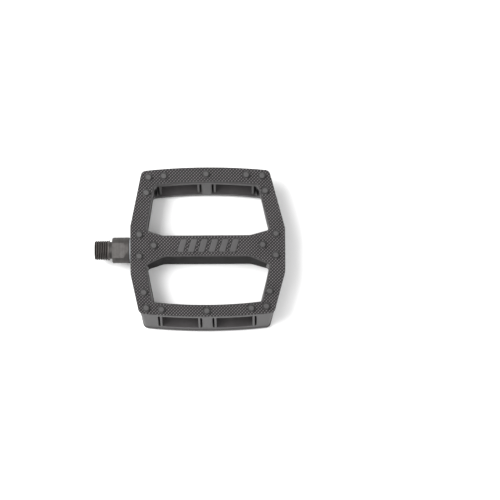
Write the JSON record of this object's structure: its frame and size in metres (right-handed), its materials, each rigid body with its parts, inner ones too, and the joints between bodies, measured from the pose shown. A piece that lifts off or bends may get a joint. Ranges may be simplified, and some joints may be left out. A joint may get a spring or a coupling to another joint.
{
  "type": "flat pedal",
  "caption": "Platform bicycle pedal: a knurled plastic body with moulded traction pins and open windows, spinning on a steel spindle with a crank thread.",
  "frame": {"origin": "on the spindle axis, at the collar face that stops against the crank", "axes": "+X along the spindle towards the end cap, +Z normal to the tread, +Y towards the rail whose top edge leans out"},
  "size_m": [0.1357, 0.1178, 0.0318],
  "materials": {
    "body_plastic": "moulded, knurled tread",
    "cap_plastic": "moulded, fine grain",
    "seal_rubber": "smooth",
    "bush_brass": "plain",
    "spindle_steel": "dark oxide",
    "zinc_steel": "zinc plated",
    "nylon": "smooth",
    "bearing_steel": "ground",
    "ball_steel": "polished",
    "cage_brass": "pressed",
    "shield_rubber": "smooth"
  },
  "bodies": {
    "spindle_unit": {"spindle": "spindle_steel", "stepped_washer": "zinc_steel", "locknut": "zinc_steel", "locknut_insert": "nylon", "bearing_a_inner_ring": "bearing_steel", "bearing_b_inner_ring": "bearing_steel"},
    "platform": {"pedal_body": "body_plastic", "end_cap": "cap_plastic", "dust_seal": "seal_rubber", "inner_bushing": "bush_brass", "bearing_a_outer_ring": "bearing_steel", "bearing_a_inboard_shield": "shield_rubber", "bearing_a_outboard_shield": "shield_rubber", "bearing_b_outer_ring": "bearing_steel", "bearing_b_inboard_shield": "shield_rubber", "bearing_b_outboard_shield": "shield_rubber"},
    "ball_train_a": {"bearing_a_balls": "ball_steel", "bearing_a_cage": "cage_brass"},
    "ball_train_b": {"bearing_b_balls": "ball_steel", "bearing_b_cage": "cage_brass"}
  },
  "joints": [
    {"name": "pedal_spin", "type": "hinge", "parent": "spindle_unit", "child": "platform", "pos_m": [0.0675, 0, 0], "axis": [1, 0, 0], "continuous": true},
    {"name": "balls_a_roll", "type": "hinge", "parent": "spindle_unit", "child": "ball_train_a", "pos_m": [0.106, 0, 0], "axis": [1, 0, 0], "continuous": true},
    {"name": "balls_b_roll", "type": "hinge", "parent": "spindle_unit", "child": "ball_train_b", "pos_m": [0.111, 0, 0], "axis": [1, 0, 0], "continuous": true}
  ],
  "couplings": [
    {"joint": "balls_a_roll", "follows": "pedal_spin", "ratio": 0.5909},
    {"joint": "balls_b_roll", "follows": "pedal_spin", "ratio": 0.5909}
  ]
}
